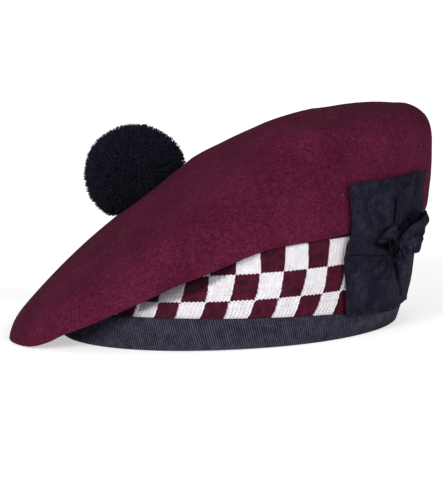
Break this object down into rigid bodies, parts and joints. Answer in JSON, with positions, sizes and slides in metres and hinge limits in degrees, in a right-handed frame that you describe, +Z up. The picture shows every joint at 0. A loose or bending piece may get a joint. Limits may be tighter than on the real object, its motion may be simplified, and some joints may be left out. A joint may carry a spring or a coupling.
{
  "type": "balmoral bonnet",
  "caption": "Soft felted wool bonnet with a wide crown folded down at one side, a diced band, a ribbon binding, a ribbon cockade and a pompom.",
  "frame": {"origin": "middle of the bonnet's bounding box at the surface it rests on", "axes": "+Z up, -Y towards the front of the bonnet, +X towards the wearer's left, where the cockade is"},
  "size_m": [0.2152, 0.227, 0.1135],
  "materials": {
    "maroon_felt": "milled wool felt with a short nap",
    "diced_wool": "knitted wool in white and maroon dice",
    "black_ribbon": "ribbed ribbon with a dull sheen",
    "cockade_ribbon": "ribbed ribbon with a soft sheen",
    "bow_ribbon": "ribbed ribbon with a soft sheen",
    "knot_ribbon": "ribbed ribbon with a soft sheen",
    "toorie_wool": "clipped wool yarn"
  },
  "bodies": {
    "root": {"crown": "maroon_felt", "diced_band": "diced_wool", "headband_ribbon": "black_ribbon", "cockade_panel": "cockade_ribbon", "cockade_bow": "bow_ribbon", "cockade_knot": "knot_ribbon", "toorie": "toorie_wool"}
  },
  "joints": []
}
